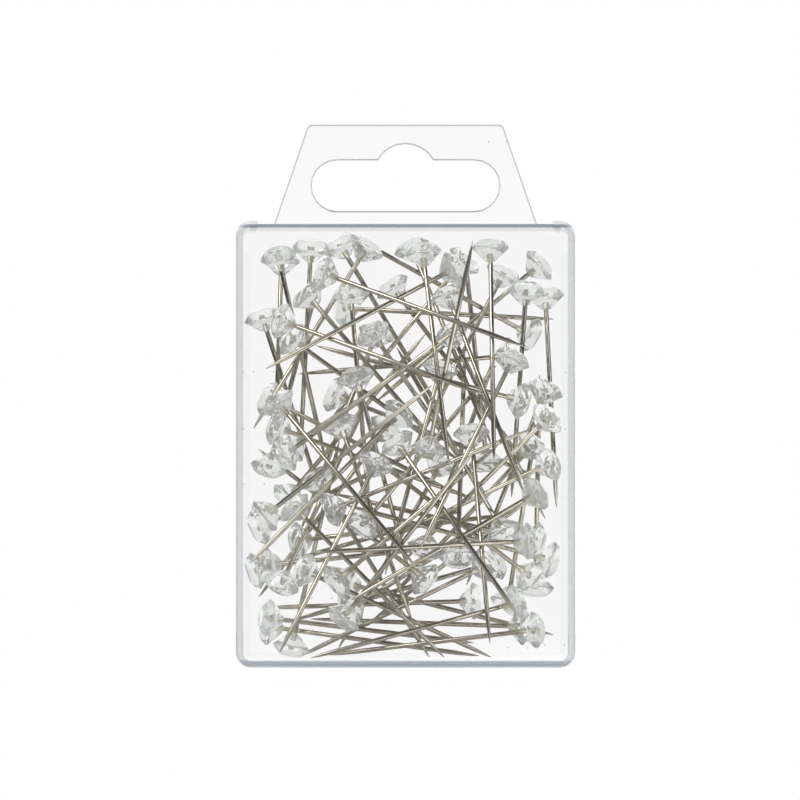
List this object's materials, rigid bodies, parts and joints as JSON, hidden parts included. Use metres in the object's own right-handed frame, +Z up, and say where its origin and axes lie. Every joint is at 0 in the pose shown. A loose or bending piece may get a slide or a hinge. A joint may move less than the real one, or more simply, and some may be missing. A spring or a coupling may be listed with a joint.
{
  "type": "hang box of diamond head pins",
  "caption": "Clear hang-tab box with a top-hinged front lid, holding a jumble of loose steel pins with faceted clear heads.",
  "frame": {"origin": "centre of the box's footprint, on the surface it stands on", "axes": "+Z up towards the hang tab, -Y out of the front lid, +X to the right as seen from the front"},
  "size_m": [0.058, 0.02, 0.093],
  "materials": {
    "clear_polystyrene": "clear, polished moulding",
    "crystal_acrylic": "clear, polished facets",
    "nickel_plated_steel": "bright nickel plate"
  },
  "bodies": {
    "base": {"box_base": "clear_polystyrene", "pin_01_head": "crystal_acrylic", "pin_01_shaft": "nickel_plated_steel", "pin_02_head": "crystal_acrylic", "pin_02_shaft": "nickel_plated_steel", "pin_03_head": "crystal_acrylic", "pin_03_shaft": "nickel_plated_steel", "pin_04_head": "crystal_acrylic", "pin_04_shaft": "nickel_plated_steel", "pin_05_head": "crystal_acrylic", "pin_05_shaft": "nickel_plated_steel", "pin_06_head": "crystal_acrylic", "pin_06_shaft": "nickel_plated_steel", "pin_07_head": "crystal_acrylic", "pin_07_shaft": "nickel_plated_steel", "pin_08_head": "crystal_acrylic", "pin_08_shaft": "nickel_plated_steel", "pin_09_head": "crystal_acrylic", "pin_09_shaft": "nickel_plated_steel", "pin_10_head": "crystal_acrylic", "pin_10_shaft": "nickel_plated_steel", "pin_11_head": "crystal_acrylic", "pin_11_shaft": "nickel_plated_steel", "pin_12_head": "crystal_acrylic", "pin_12_shaft": "nickel_plated_steel", "pin_13_head": "crystal_acrylic", "pin_13_shaft": "nickel_plated_steel", "pin_14_head": "crystal_acrylic", "pin_14_shaft": "nickel_plated_steel", "pin_15_head": "crystal_acrylic", "pin_15_shaft": "nickel_plated_steel", "pin_16_head": "crystal_acrylic", "pin_16_shaft": "nickel_plated_steel", "pin_17_head": "crystal_acrylic", "pin_17_shaft": "nickel_plated_steel", "pin_18_head": "crystal_acrylic", "pin_18_shaft": "nickel_plated_steel", "pin_19_head": "crystal_acrylic", "pin_19_shaft": "nickel_plated_steel", "pin_20_head": "crystal_acrylic", "pin_20_shaft": "nickel_plated_steel", "pin_21_head": "crystal_acrylic", "pin_21_shaft": "nickel_plated_steel", "pin_22_head": "crystal_acrylic", "pin_22_shaft": "nickel_plated_steel", "pin_23_head": "crystal_acrylic", "pin_23_shaft": "nickel_plated_steel", "pin_24_head": "crystal_acrylic", "pin_24_shaft": "nickel_plated_steel", "pin_25_head": "crystal_acrylic", "pin_25_shaft": "nickel_plated_steel", "pin_26_head": "crystal_acrylic", "pin_26_shaft": "nickel_plated_steel", "pin_27_head": "crystal_acrylic", "pin_27_shaft": "nickel_plated_steel", "pin_28_head": "crystal_acrylic", "pin_28_shaft": "nickel_plated_steel", "pin_29_head": "crystal_acrylic", "pin_29_shaft": "nickel_plated_steel"},
    "lid": {"box_lid": "clear_polystyrene"}
  },
  "joints": [
    {"name": "lid_hinge", "type": "hinge", "parent": "base", "child": "lid", "pos_m": [0, -0.004, 0.07535], "axis": [-1, 0, 0], "range_deg": [0, 110]}
  ]
}
